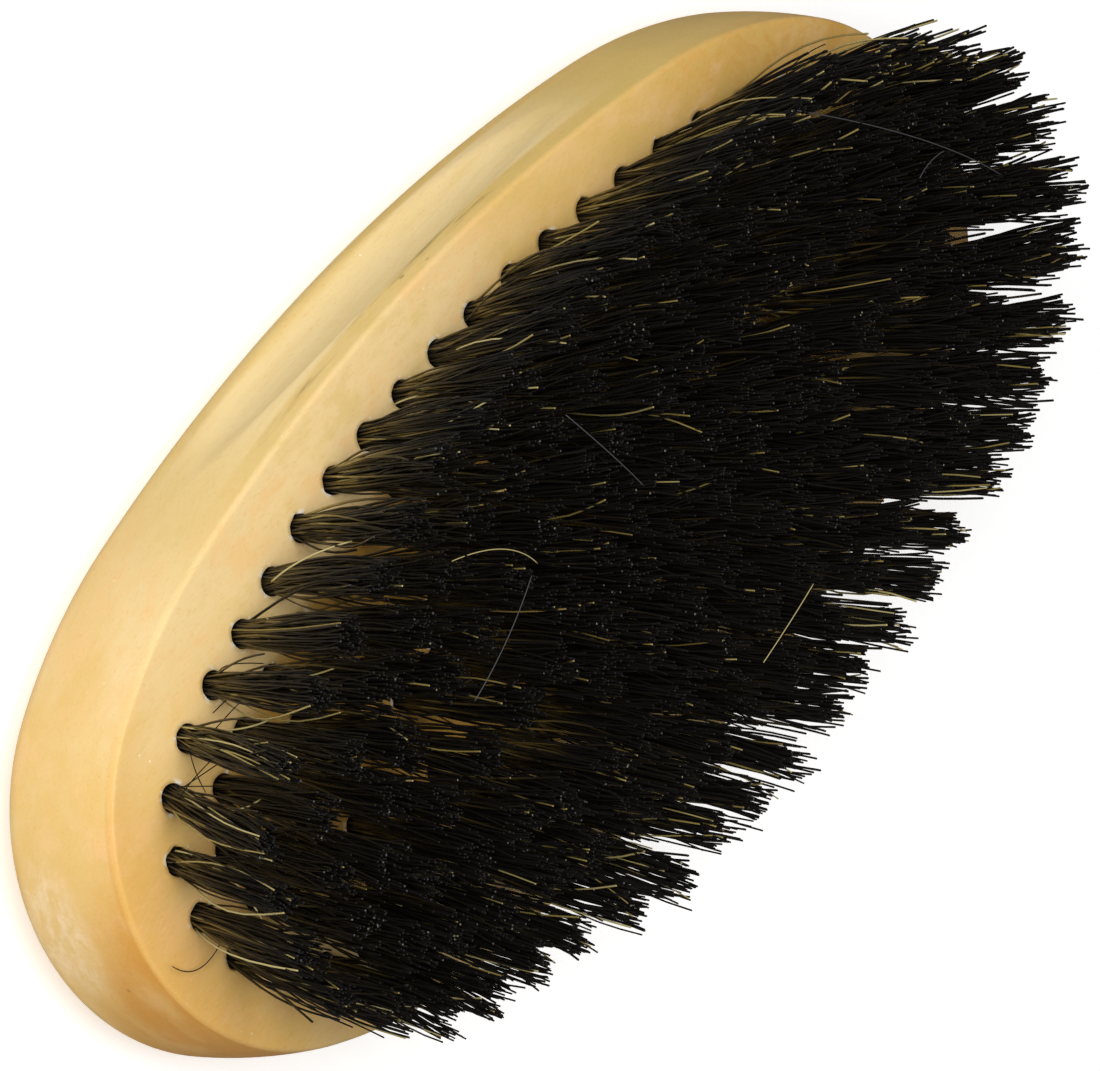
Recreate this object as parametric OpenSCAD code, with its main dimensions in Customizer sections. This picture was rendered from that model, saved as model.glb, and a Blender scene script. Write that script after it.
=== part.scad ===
// Palm-held oval beard brush: a wooden block with a domed back and finger grooves,
// blind holes drilled in oval rings, a bristle tuft in every hole, and the flat wire
// anchor that holds each folded tuft at the bottom of its hole.
// +X runs along the brush, +Z points out of the bristle face, and the origin is the
// middle of the flat land on the back, which the brush rests on.

/* [Block] */
// Length of the bristle face
face_length = 120; // [112:1:126]
// Thickness of the wooden block
block_thickness = 19; // [18:0.5:21]
// Radius of the arc round each end of the face
end_radius = 20.5; // [20:0.1:21]
// Radius of the shoulder arc between an end and a side
shoulder_radius = 49; // [45:1:53]
// Turn of the outline where the end arc becomes the shoulder arc
end_turn = 60; // [58:1:62]
// Turn of the outline where the shoulder arc becomes the side arc
shoulder_turn = 79; // [78:0.5:80]
// How far the side walls swell out beyond the face
side_swell = 1.1; // [0.6:0.1:1.6]
// Distance from the face down to the widest part of the side walls
swell_depth = 11.2; // [10.5:0.1:12]
// Radius of the edge between the side walls and the domed back
back_edge_radius = 3; // [2:0.5:4]
// Width of the rounded and domed border round the flat land on the back
dome_border = 20; // [18:0.5:20.5]

/* [Finger grooves] */
// Radius of the cutter that makes the groove in each long side
groove_radius = 5.7; // [5:0.1:7]
// Depth of each groove at its middle
groove_depth = 1.8; // [1:0.1:2]
// Distance from the face down to the middle of each groove
groove_drop = 6.4; // [6:0.1:7]
// Offset of the grooves along the brush
groove_shift = 3; // [-4:0.5:4]
// Slope of the grooves, lower towards +X
groove_slope = 2; // [0:0.5:3]

/* [Bristle holes] */
// Diameter of each hole
hole_diameter = 2.5; // [2.4:0.1:2.8]
// Depth of each hole along its own axis
hole_depth = 7; // [5:0.5:8]
// Distance from the edge of the face in to the outer ring of holes
edge_margin = 6.5; // [6:0.1:7]
// Distance between neighbouring rings
ring_spacing = 5.2; // [5:0.1:5.3]
// Spacing of the holes along a ring or row
hole_pitch = 5.5; // [5.2:0.05:5.8]
// How far the ring holes on the -Y side sit towards +X at mid length
front_drift = 0.35; // [0:0.05:0.6]
// How far the ring holes on the +Y side sit towards +X at mid length
back_drift = 2.3; // [0:0.1:2.4]
// How much the rings narrow at their +X shoulders, as a share of their width
shoulder_squeeze = 0.07; // [0:0.01:0.08]
// Number of holes in each of the two short rows beside the centre row
inner_row_holes = 7; // [3:2:7]
// Number of holes in the centre row
centre_row_holes = 14; // [8:2:14]
// Sideways lean of the holes at the ends of the face, as a slope
lean_along = 0.24; // [0.1:0.01:0.3]
// Sideways lean of the holes at the long sides of the face, as a slope
lean_across = 0.18; // [0.05:0.01:0.25]

/* [Bristles] */
// Height of the trimmed bristle tips above the face
bristle_height = 18; // [12:0.5:24]
// Diameter of a tuft where it leaves its hole
tuft_diameter = 2.4; // [2:0.1:2.4]
// Diameter of a tuft at its tips
tip_diameter = 4.6; // [3:0.1:4.6]

/* [Anchors] */
// Length of each anchor across its hole
anchor_length = 2.2; // [1.8:0.1:2.3]
// Height of each anchor along its hole
anchor_height = 1.6; // [1:0.1:2]
// Thickness of the flat wire of each anchor
anchor_thickness = 0.4; // [0.3:0.05:0.5]

/* [Hidden] */
$fn = 96;
slack = 0.05;
reach = 200;

// The face outline is a chain of tangent arcs: end, shoulder and side.
half_length = face_length / 2;
end_x = half_length - end_radius;
shoulder_x = end_x - (shoulder_radius - end_radius) * cos(end_turn);
shoulder_y = (shoulder_radius - end_radius) * sin(end_turn);
side_radius = shoulder_radius + shoulder_x / cos(shoulder_turn);
side_y = shoulder_y + (side_radius - shoulder_radius) * sin(shoulder_turn);
half_width = side_radius - side_y;

// The wall from the face to the flat land is a swelling side, a rounded edge and a dome,
// each given by its offset from the edge of the face.
widest_z = block_thickness - swell_depth;
swell_radius = (pow(swell_depth, 2) + pow(side_swell, 2)) / (2 * side_swell);
edge_u = side_swell - back_edge_radius;
land_u = side_swell - dome_border;
dome_turn = 2 * atan((widest_z - back_edge_radius) / (dome_border - back_edge_radius));
dome_radius = (dome_border - back_edge_radius * (1 - sin(dome_turn))) / sin(dome_turn);

// The stretch of X along which the rings narrow
squeeze_start = half_length / 3;
squeeze_length = half_length * 8 / 15;

trim_z = block_thickness + bristle_height;
fold_depth = hole_depth - 0.2;
anchor_drop = hole_depth - 0.8;

// Three oval rings of holes from the outside in, two short inner rows and a centre row
RINGS = [0, 1, 2];
RING_GROUPS = [8, 8, 6];
INNER_ROWS = [-1, 1];
CENTRE_GROUPS = 2;

function ring_inset(k) = edge_margin + k * ring_spacing;
function arc_length(radius, turn) = radius * turn * PI / 180;
function turn_at(radius, distance) = distance / radius * 180 / PI;
function arc_point(centre, radius, turn) = centre + radius * [cos(turn), -sin(turn)];

function end_length(inset) = arc_length(end_radius - inset, end_turn);
function shoulder_length(inset) = arc_length(shoulder_radius - inset, shoulder_turn - end_turn);
function side_length(inset) = arc_length(side_radius - inset, 90 - shoulder_turn);
function quarter_length(inset) = end_length(inset) + shoulder_length(inset) + side_length(inset);
function ring_count(k) = 2 * round(2 * quarter_length(ring_inset(k)) / hole_pitch);

// Point on the side arc at some inset, a distance s along it from the middle of the side
function side_point(inset, s) =
    arc_point([0, side_y], side_radius - inset, 90 - turn_at(side_radius - inset, s));

// Point on a quarter of the outline at some inset, a distance s from its tip on the X axis
function quarter_point(inset, s) =
    s < end_length(inset)
    ? arc_point([end_x, 0], end_radius - inset, turn_at(end_radius - inset, s))
    : s < end_length(inset) + shoulder_length(inset)
    ? arc_point([shoulder_x, shoulder_y], shoulder_radius - inset,
        end_turn + turn_at(shoulder_radius - inset, s - end_length(inset)))
    : side_point(inset, quarter_length(inset) - s);

// Point at fraction t of the way round a ring, starting at its +X tip
function ring_point(inset, t) =
    let (
        quarter = floor(4 * t),
        part = 4 * t - quarter,
        p = quarter_point(inset, quarter_length(inset) * (quarter % 2 == 0 ? part : 1 - part))
    )
    [p.x * (quarter == 0 || quarter == 3 ? 1 : -1), p.y * (quarter < 2 ? 1 : -1)];

function ring_drift(inset, t) =
    (t < 0.5 ? front_drift : back_drift) * sin(360 * t) / (4 * quarter_length(inset));
function narrowed(p) =
    let (part = min(1, max(0, (p.x - squeeze_start) / squeeze_length)))
    [p.x, p.y * (1 - shoulder_squeeze * pow(sin(180 * part), 2))];

// Every second ring starts half a pitch later, so that the holes are staggered.
function ring_holes(k) = [
    for (i = [0 : ring_count(k) - 1])
        let (inset = ring_inset(k), t = (i + (k % 2) / 2) / ring_count(k))
            narrowed(ring_point(inset, t - ring_drift(inset, t)))
];
function row_offset(i, count) = (i - (count - 1) / 2) * hole_pitch;
function inner_holes(side) = [
    for (i = [0 : inner_row_holes - 1])
        let (p = side_point(ring_inset(3), row_offset(i, inner_row_holes))) [p.x, -side * p.y]
];
centre_holes = [for (i = [0 : centre_row_holes - 1]) [row_offset(i, centre_row_holes), 0]];

// The holes of group g when a list of holes is split into equal groups
function group_of(holes, g, groups) =
    [for (i = [0 : len(holes) - 1]) if (floor(i * groups / len(holes)) == g) holes[i]];

function tuft_name(k, g) = str("ring_", k + 1, "_tufts_", g + 1);
function inner_tuft_name(side) = side < 0 ? "inner_row_tufts_front" : "inner_row_tufts_back";
function centre_tuft_name(g) = str("centre_row_tufts_", g + 1);
function anchor_name(k) = str("ring_", k + 1, "_anchors");

// Point on the outline grown by an offset, where the outline has turned by an angle
function outline_point(offset, turn) =
    turn < end_turn
    ? arc_point([end_x, 0], end_radius + offset, turn)
    : turn < shoulder_turn
    ? arc_point([shoulder_x, shoulder_y], shoulder_radius + offset, turn)
    : arc_point([0, side_y], side_radius + offset, turn);

function steps(from, to, count) = [for (i = [0 : count - 1]) from + (to - from) * i / count];
QUARTER_TURNS = concat(
    steps(0, end_turn, 8),
    steps(end_turn, shoulder_turn, 4),
    steps(shoulder_turn, 90, 6)
);

// One closed loop of points round the block at some offset and height
function loop_points(offset, z) = concat(
    [for (t = QUARTER_TURNS) let (p = outline_point(offset, t)) [p.x, p.y, z]],
    [for (t = QUARTER_TURNS) let (p = outline_point(offset, 90 - t)) [-p.x, p.y, z]],
    [for (t = QUARTER_TURNS) let (p = outline_point(offset, t)) [-p.x, -p.y, z]],
    [for (t = QUARTER_TURNS) let (p = outline_point(offset, 90 - t)) [p.x, -p.y, z]]
);

// Offset and height of each loop, from the bristle face round to the flat land
wall_turn = asin(swell_depth / swell_radius);
LEVELS = concat(
    [
        for (a = steps(wall_turn, 0, 5))
            [side_swell - swell_radius * (1 - cos(a)), widest_z + swell_radius * sin(a)]
    ],
    [
        for (a = steps(0, 90 - dome_turn, 5))
            [edge_u + back_edge_radius * cos(a), widest_z - back_edge_radius * sin(a)]
    ],
    [
        for (a = steps(dome_turn, 0, 6))
            [land_u + dome_radius * sin(a), dome_radius * (1 - cos(a))]
    ],
    [[land_u, 0]]
);

module plain_block() {
    count = 4 * len(QUARTER_TURNS);
    last = count * (len(LEVELS) - 1);
    polyhedron(
        points = [for (level = LEVELS) each loop_points(level.x, level.y)],
        faces = concat(
            [[for (i = [0 : count - 1]) i]],
            [
                for (j = [0 : len(LEVELS) - 2]) for (i = [0 : count - 1])
                    [i, i + count, (i + 1) % count + count, (i + 1) % count] + j * count * [1, 1, 1, 1]
            ],
            [[for (i = [count - 1 : -1 : 0]) last + i]]
        )
    );
}

// Places its children at a hole, with Z along the hole's leaning axis
module at_hole(p) {
    lean = [lean_along * p.x / half_length, lean_across * p.y / half_width];
    heading = atan2(lean.y, lean.x);
    translate([p.x, p.y, block_thickness])
        rotate([0, atan(norm(lean)), heading]) rotate(-heading) children();
}

module drill(holes) {
    for (p = holes) at_hole(p)
        translate([0, 0, -hole_depth]) cylinder(d = hole_diameter, h = hole_depth + 1);
}

module finger_groove() {
    wall_u = side_swell - pow(swell_depth - groove_drop, 2) / (2 * swell_radius);
    translate([groove_shift, half_width + wall_u + groove_radius - groove_depth,
        block_thickness - groove_drop])
        rotate([0, 90 + groove_slope, 0]) cylinder(r = groove_radius, h = half_length, center = true);
}

module wood_block() {
    color("burlywood") difference() {
        plain_block();
        finger_groove();
        mirror([0, 1, 0]) finger_groove();
        for (k = RINGS) drill(ring_holes(k));
        for (side = INNER_ROWS) drill(inner_holes(side));
        drill(centre_holes);
    }
}

module anchor() {
    translate([0, 0, -anchor_drop + anchor_height / 2])
        cube([anchor_length, anchor_thickness, anchor_height], center = true);
}

// One folded tuft with the slot that its anchor sits in
module tuft() {
    difference() {
        union() {
            translate([0, 0, -fold_depth]) cylinder(d = tuft_diameter, h = fold_depth);
            cylinder(d1 = tuft_diameter, d2 = tip_diameter * 1.05, h = bristle_height * 1.05);
        }
        translate([0, 0, -anchor_drop + anchor_height / 2]) cube([
            hole_diameter,
            anchor_thickness + 2 * slack,
            anchor_height + 2 * slack
        ], center = true);
    }
}

module tufts(holes) {
    color([0.13, 0.11, 0.1]) intersection() {
        union() for (p = holes) at_hole(p) tuft();
        translate([-reach, -reach, 0]) cube([2 * reach, 2 * reach, trim_z]);
    }
}

module anchors(holes) {
    color("silver") for (p = holes) at_hole(p) anchor();
}

wood_block();
for (k = RINGS) for (g = [0 : RING_GROUPS[k] - 1])
    tufts(group_of(ring_holes(k), g, RING_GROUPS[k]));
for (side = INNER_ROWS)
    tufts(inner_holes(side));
for (g = [0 : CENTRE_GROUPS - 1])
    tufts(group_of(centre_holes, g, CENTRE_GROUPS));
for (k = RINGS)
    anchors(ring_holes(k));
for (side = INNER_ROWS) anchors(inner_holes(side));  // inner_row_anchors
anchors(centre_holes);  // centre_row_anchors
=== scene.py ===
"""A palm-held oval beard brush: a varnished wooden block with rings of boar bristle tufts.

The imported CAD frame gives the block, the tufts and the anchors. This script replaces the
block by a smooth drilled one and each group of tufts by its single bristles, and gives
every piece a procedural material. Lengths are in metres.
"""
import math

import bpy
import numpy as np
from mathutils import Matrix, Vector
from mathutils.geometry import delaunay_2d_cdt


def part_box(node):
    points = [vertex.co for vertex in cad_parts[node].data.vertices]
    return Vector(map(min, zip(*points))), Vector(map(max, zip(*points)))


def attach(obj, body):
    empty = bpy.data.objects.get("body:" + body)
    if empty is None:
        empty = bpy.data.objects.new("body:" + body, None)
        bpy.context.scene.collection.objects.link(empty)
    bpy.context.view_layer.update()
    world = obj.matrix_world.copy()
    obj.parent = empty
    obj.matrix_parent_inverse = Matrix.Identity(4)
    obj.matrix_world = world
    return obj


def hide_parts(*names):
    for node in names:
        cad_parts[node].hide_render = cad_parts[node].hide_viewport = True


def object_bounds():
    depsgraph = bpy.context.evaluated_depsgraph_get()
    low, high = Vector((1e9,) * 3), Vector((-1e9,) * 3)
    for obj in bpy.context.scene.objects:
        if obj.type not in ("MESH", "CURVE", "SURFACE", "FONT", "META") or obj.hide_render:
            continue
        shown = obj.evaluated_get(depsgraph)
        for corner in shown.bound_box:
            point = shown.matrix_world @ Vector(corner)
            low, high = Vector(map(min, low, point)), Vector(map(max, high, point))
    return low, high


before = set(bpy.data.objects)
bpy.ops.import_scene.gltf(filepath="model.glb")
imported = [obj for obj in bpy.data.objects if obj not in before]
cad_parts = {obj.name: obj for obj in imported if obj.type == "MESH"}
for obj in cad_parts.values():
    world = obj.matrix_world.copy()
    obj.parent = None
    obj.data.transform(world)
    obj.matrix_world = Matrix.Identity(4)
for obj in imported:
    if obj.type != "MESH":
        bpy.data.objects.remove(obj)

CAD_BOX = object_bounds()
MM = 0.001

# The outline of the face: end, shoulder and side arcs that meet in tangents
END_RADIUS = 20.5 * MM
SHOULDER_RADIUS = 49 * MM
END_TURN = math.radians(60)
SHOULDER_TURN = math.radians(79)

# The wall from the face down to the flat land on the back
CREASE_RADIUS = 0.35 * MM
CREASE_STEPS = 5
SIDE_SWELL = 1.1 * MM
SWELL_DEPTH = 11.2 * MM
BACK_EDGE_RADIUS = 3 * MM
DOME_BORDER = 20 * MM
SWELL_STEPS = 34
EDGE_STEPS = 12
DOME_STEPS = 18
LOOP_SPACING = 0.7 * MM

# The finger groove in each long side
GROOVE_RADIUS = 5.7 * MM
GROOVE_DEPTH = 1.8 * MM
GROOVE_DROP = 6.4 * MM
GROOVE_SHIFT = 3 * MM
GROOVE_SLOPE = math.radians(2)
GROOVE_SOFTNESS = 0.35 * MM
GROOVE_BORDER = 2.0 * MM

# The drilled holes
HOLE_RADIUS = 1.25 * MM
HOLE_DEPTH = 7 * MM
HOLE_SIDES = 24
EDGE = -1
EDGE_MARGIN = 6.5 * MM
RING_SPACING = 5.2 * MM
HOLE_PITCH = 5.5 * MM
FRONT_DRIFT = 0.35 * MM
BACK_DRIFT = 2.3 * MM
SHOULDER_SQUEEZE = 0.07
RING_GROUPS = [8, 8, 6]
INNER_ROW_HOLES = 7
CENTRE_ROW_HOLES = 14
CENTRE_GROUPS = 2
LEAN_ALONG = 0.24
LEAN_ACROSS = 0.18

# The rim of each hole: its border, its lip, and how far it is worn and chipped, in millimetres
RIM_BORDER = 0.5 * MM
LIP_DROP = 0.10 * MM
WEAR = (0.03, 0.10)
CHIP = (0.08, 0.22)
CHIP_TAIL = (0.05, 0.15)
MOST_CHIPS = 2
# Depths of the loops down each hole, and how much each loop from the border down is rim and bore,
# where the bore is painted shade
BORE_DEPTHS = (0.9 * MM, 3 * MM, HOLE_DEPTH)
RIM_MARKS = [0, 1, 0.8, 0, 0, 0]
BORE_SHADE_MARKS = [0, 0, 0.35, 1, 1, 1]

# The bristles: each tuft is a bundle of clumps that fans out from its hole
BRISTLES_PER_TUFT = 80
CLUMPS_PER_TUFT = 22
BRISTLE_RADIUS = 0.118 * MM
THICKNESS_RANGE = (0.85, 1.15)
BLOND_THINNING = 0.78
TIP_TAPER = 0.88
TUFT_RADIUS = 1.12 * MM
OUTER_FLARE = 1.6
INNER_FLARE = 2.0
FLARE_RANGE = (0.88, 1.15)
TWIST = 0.35
SLANT = 0.02
SUNK = 2.5 * MM
TIP_BAND = 0.1 * MM
BRISTLE_STEPS = 10
BRISTLE_SIDES = 4
# Where the tufts lean away from their holes' axes: centre and spread in millimetres, and slope
STRAYS = [((51, -10), 5, (0.09, 0.055)), ((-52, 2), 14, (0.11, -0.06))]
# Where the tufts fan out less or more than elsewhere: centre and spread in millimetres, and factor
FLARES = [((51, -10), 10, 0.55), ((-52, 2), 14, 1.3)]

# How unevenly the clumps and single bristles stand, bend and end
ROOT_JITTER = 0.03 * MM
CLUMP_JITTER = 0.1 * MM
CLUMP_SCATTER = 0.42 * MM
CLUMP_SPREAD = 1.3
TIP_JITTER = 0.38 * MM
CLUMP_CUT = 0.45 * MM
BRISTLE_CUT = 0.15 * MM
TUFT_CUT = (0.3 * MM, 0.9 * MM)
BOW = 0.38 * MM
WAVE = 0.11 * MM
WILD_SHARE = 0.08
WILD_SCATTER = 1.5 * MM
WILD_REACH = 2.2 * MM
WILD_CUT = 6 * MM

# The tones of the bristles, from 0 for black through brown to blond, and their cut ends
OUTER_BLOND_SHARE = 0.045
INNER_BLOND_SHARE = 0.016
BROWN_SHARE = 0.18
BLACK_TONES = (0.0, 0.07)
BROWN_TONES = (0.12, 0.38)
# Blond bristles of the inner tufts get darker tones than the outer ones: painted shade deep among
# the tufts
SHADED_INNER_BLOND_TONES = (0.56, 0.78)
OUTER_BLOND_TONES = (0.6, 0.88)
BLOND_FROM = 0.55
# Pale cut ends: a grey cap on some bristles, clustered by tuft; partly the pale cut core, partly
# painted glint
PALE_TIP_GLINT = 1.0
PALE_GLINT_SHARE = 0.045
PALE_GLINT_TUFTS = [0.2, 1, 2]
SHINY_TUFTS = [0.3, 0.7, 1.0]
SHINY_SPREAD = 0.5 * MM

# Stray hairs and bristles: start, end and bow in millimetres above the face, and tone
HAIR_RADIUS = 0.05 * MM
STRAND_RADIUS = 0.09 * MM
HAIR_STEPS = 24
LOOSE_HAIRS = [
    ((8, -17, 18), (5, -7, 18.4), (0, 0.3, 0.4), 1.0),
    ((-31, -20, 17), (-47, -1, 18.4), (-1.5, 0.6, 0.6), 1.0),
    ((-42.5, -7, 18.3), (-38.5, -7, 18.3), (0, -0.3, 0), 1.0),
    ((19.5, -9, 18), (31, -5, 18), (0, 0.2, 0.3), 1.0),
    ((3.5, 13.7, 18.4), (-5.5, 12.3, 18.4), (0, 0, 0.1), 0.85),
    ((25, -15, 17), (18.5, -9.5, 18.2), (-1.0, -0.6, 0.5), 0.8),
    ((54, 2, 1.5), (59, 0.5, 0.9), (0.4, 1.4, -0.5), 0.3),
    ((-37, -20, 11), (-40.5, -20.5, 13.5), (1.5, -1.2, 1.5), 0.1),
    ((46, -12.5, 2.5), (41.5, -14.5, 6), (0.5, -0.4, 0.5), 0.2),
    ((51, -11, 3), (44.5, -13, 7.5), (0.4, -0.6, 0.3), 0.2),
    ((39.5, -15, 0.5), (37, -13.8, 3), (1.5, -1.6, 1.5), 0.1),
    ((48.5, -10, 0.5), (45, -11.5, 6), (0, 0, 0), 0.1),
    ((47.5, -13.5, 3), (48.5, -9.5, 3), (0, 0, -0.3), 0.1),
    ((49, -10.5, 0.5), (45, -7.5, 9), (0, 0, 0.3), 0.1),
    ((42.5, -13, 1), (41.5, -14, 3), (0, 0, 0), 0.1),
    ((11.5, -20.5, 5), (13.5, -17.5, 8), (0, 0, 0.2), 0.3),
]
LOOSE_STRANDS = [
    ((32, -18.5, 3), (27, -18.8, 9), (0.6, -0.8, 0.3), 0.85),
    ((50, -9, 2), (46, -8, 8), (0.2, 1, 0.5), 0.85),
    ((52.5, -6.5, 0.5), (53, 0.5, 7), (-0.6, -1, 0.8), 0.88),
    ((54, -0.5, 0.5), (53, 6, 11), (0, -0.9, 0.2), 0.75),
    ((45.5, -14, 0.5), (42.5, -12.5, 8), (0.4, 0.4, 0.8), 0.8),
    ((35, -17, 4), (34, -16.5, 11), (0, 0, 0.2), 0.88),
    ((39.5, -14, 0.5), (36.5, -13, 11), (0.6, 0.1, 1.2), 0.75),
    ((10.5, -20.5, 1), (8, -18, 8), (-0.5, -0.9, 0.5), 0.88),
    ((11.5, -19.5, 2), (11, -18, 7), (-1.9, -0.6, 0.5), 0.8),
    ((16.5, -15.5, 1), (12.5, -16.5, 9), (0.2, -1.1, 0), 0.6),
    ((-7, -21.5, 1), (-11.5, -23, 10), (0, 0, 0.5), 0.7),
]

BLOCK_LOW, BLOCK_HIGH = (np.array(c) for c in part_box("wood_block"))
FACE_Z = BLOCK_HIGH[2]
BLOCK_Z = FACE_Z - BLOCK_LOW[2]
HALF_LENGTH = (BLOCK_HIGH[0] - BLOCK_LOW[0]) / 2 - SIDE_SWELL
BRISTLE_HEIGHT = CAD_BOX[1][2] - FACE_Z

END_X = HALF_LENGTH - END_RADIUS
SHOULDER_X = END_X - (SHOULDER_RADIUS - END_RADIUS) * math.cos(END_TURN)
SHOULDER_Y = (SHOULDER_RADIUS - END_RADIUS) * math.sin(END_TURN)
SIDE_RADIUS = SHOULDER_RADIUS + SHOULDER_X / math.cos(SHOULDER_TURN)
SIDE_Y = SHOULDER_Y + (SIDE_RADIUS - SHOULDER_RADIUS) * math.sin(SHOULDER_TURN)
HALF_WIDTH = SIDE_RADIUS - SIDE_Y
WIDEST_Z = BLOCK_Z - SWELL_DEPTH
SWELL_RADIUS = (SWELL_DEPTH**2 + SIDE_SWELL**2) / (2 * SIDE_SWELL)
SQUEEZE_START = HALF_LENGTH / 3
SQUEEZE_LENGTH = HALF_LENGTH * 8 / 15

QUARTER = math.pi / 2
# Centre, radius and range of turns of each arc in one quarter of the outline
ARCS = [
    ((END_X, 0), END_RADIUS, 0, END_TURN),
    ((SHOULDER_X, SHOULDER_Y), SHOULDER_RADIUS, END_TURN, SHOULDER_TURN),
    ((0, SIDE_Y), SIDE_RADIUS, SHOULDER_TURN, QUARTER),
]

# The camera: which point it looks at, from where, how far it is rolled, and its lens
CAMERA_TARGET = (2.8 * MM, 0.1 * MM, FACE_Z)
CAMERA_AZIMUTH = 51.33
CAMERA_ELEVATION = 47.27
CAMERA_DISTANCE = 555.9 * MM
CAMERA_ROLL = math.radians(89.64)
CAMERA_LENS = 208.1
CAMERA_SENSOR = 36

# The studio: the floor is just clear of the block, so that their flat faces don't coincide
FLOOR_SIZE = 3.0
FLOOR_Z = -0.05 * MM
SURROUND_STRENGTH = 0.13


def rgb(r, g, b):
    return (r, g, b, 1.0)


# The colours of the wood
PALE_CENTRE = 18
WOOD_PALE = rgb(0.66, 0.485, 0.235)
WOOD_TAN = rgb(0.62, 0.405, 0.135)
WOOD_ORANGE = rgb(0.61, 0.365, 0.100)
WOOD_BLUSH = rgb(0.67, 0.43, 0.18)
WOOD_BROWN = rgb(0.53, 0.235, 0.028)
# Painted shade among the tufts: the face between them is darkened to a warm brown
WOOD_SHADE_AMONG_TUFTS = rgb(0.32, 0.165, 0.024)
WOOD_GREENISH = rgb(0.55, 0.385, 0.112)
WOOD_CREAM = rgb(0.66, 0.505, 0.25)
# Dark mineral specks, and painted shade along the groove's border
WOOD_MINERAL_AND_SHADE = rgb(0.20, 0.145, 0.045)
# Whitish painted highlight of the varnish on the +X tip wall
WOOD_PAINTED_HIGHLIGHT = rgb(0.72, 0.58, 0.37)
WOOD_CHIP = rgb(0.80, 0.74, 0.62)
# Painted shade down the drilled holes
WOOD_BORE_SHADE = rgb(0.10, 0.055, 0.018)

# The colours of the bristles by tone: black, brown and blond, and grey for fine hairs and cut ends;
# on cut ends the grey is partly painted glint
HAIR_COLOURS = [
    (0.0, rgb(0.0072, 0.0064, 0.0056)),
    (0.1, rgb(0.0125, 0.0098, 0.0066)),
    (0.28, rgb(0.058, 0.040, 0.013)),
    (0.5, rgb(0.15, 0.100, 0.026)),
    (0.7, rgb(0.25, 0.19, 0.055)),
    (0.92, rgb(0.46, 0.39, 0.18)),
    (1.0, rgb(0.055, 0.055, 0.06)),
]
HAIR_SHEEN = rgb(0.84, 0.92, 1.0)

WIRE_BRIGHT = rgb(0.62, 0.61, 0.58)
WIRE_DULL = rgb(0.45, 0.43, 0.39)
FLOOR_GREY = rgb(0.84, 0.84, 0.84)
WHITE = rgb(1, 1, 1)


# ---------------------------------------------------------------- the outline

def arc_point(arc, offset, turn):
    """Point on an arc of the quarter outline, moved outwards by offset."""
    (cx, cy), radius, _, _ = arc
    return cx + (radius + offset) * math.cos(turn), cy - (radius + offset) * math.sin(turn)


def quarter_turns(spacing):
    """Turns along one quarter of the outline, about spacing apart."""
    turns = []
    for _, radius, start, end in ARCS:
        count = max(2, round(radius * (end - start) / spacing))
        turns += [start + (end - start) * i / count for i in range(count)]
    return turns


def outline(offset, turns):
    """Closed loop of (x, y) round the block, moved outwards by offset."""
    def at(turn):
        arc = next(a for a in ARCS if turn < a[3] or a is ARCS[-1])
        return arc_point(arc, offset, turn)

    first = [at(t) for t in turns]
    second = [(-x, y) for x, y in [at(QUARTER)] + [at(t) for t in reversed(turns[1:])]]
    half = first + second
    return np.array(half + [(-x, -y) for x, y in half])


def point_along(inset, s):
    """Point a distance s along a quarter of the outline, moved inwards by inset."""
    for arc in ARCS:
        _, radius, start, end = arc
        length = (radius - inset) * (end - start)
        if s <= length or arc is ARCS[-1]:
            return arc_point(arc, -inset, start + s / (radius - inset))
        s -= length


def quarter_length(inset):
    return sum((radius - inset) * (end - start) for _, radius, start, end in ARCS)


# ------------------------------------------------------------------ the holes

def ring_point(inset, t):
    """Point at fraction t of the way round a ring, starting at its +X tip."""
    quarter = math.floor(4 * t)
    part = 4 * t - quarter
    x, y = point_along(inset, quarter_length(inset) * (part if quarter % 2 == 0 else 1 - part))
    return x * (1 if quarter in (0, 3) else -1), y * (1 if quarter < 2 else -1)


def narrowed(point):
    """A ring point moved in towards the X axis at the +X shoulders."""
    x, y = point
    part = min(1, max(0, (x - SQUEEZE_START) / SQUEEZE_LENGTH))
    return x, y * (1 - SHOULDER_SQUEEZE * math.sin(math.pi * part) ** 2)


def ring_holes(k):
    """Holes of one ring, drilled a little unevenly: towards +X at mid length."""
    inset = EDGE_MARGIN + k * RING_SPACING
    count = 2 * round(2 * quarter_length(inset) / HOLE_PITCH)
    holes = []
    for i in range(count):
        t = (i + (k % 2) / 2) / count
        drift = (FRONT_DRIFT if t < 0.5 else BACK_DRIFT) / (4 * quarter_length(inset))
        holes.append(narrowed(ring_point(inset, t - drift * math.sin(2 * math.pi * t))))
    return holes


def row_offset(i, count):
    return (i - (count - 1) / 2) * HOLE_PITCH


def inner_holes(side):
    inset = EDGE_MARGIN + len(RING_GROUPS) * RING_SPACING
    radius = SIDE_RADIUS - inset
    offsets = [row_offset(i, INNER_ROW_HOLES) / radius for i in range(INNER_ROW_HOLES)]
    points = [arc_point(ARCS[2], -inset, QUARTER - turn) for turn in offsets]
    return [(x, -side * y) for x, y in points]


def centre_holes():
    return [(row_offset(i, CENTRE_ROW_HOLES), 0) for i in range(CENTRE_ROW_HOLES)]


def split(holes, groups):
    """The holes in equal groups, in order."""
    group = [i * groups // len(holes) for i in range(len(holes))]
    return [[h for h, own in zip(holes, group) if own == g] for g in range(groups)]


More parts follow.
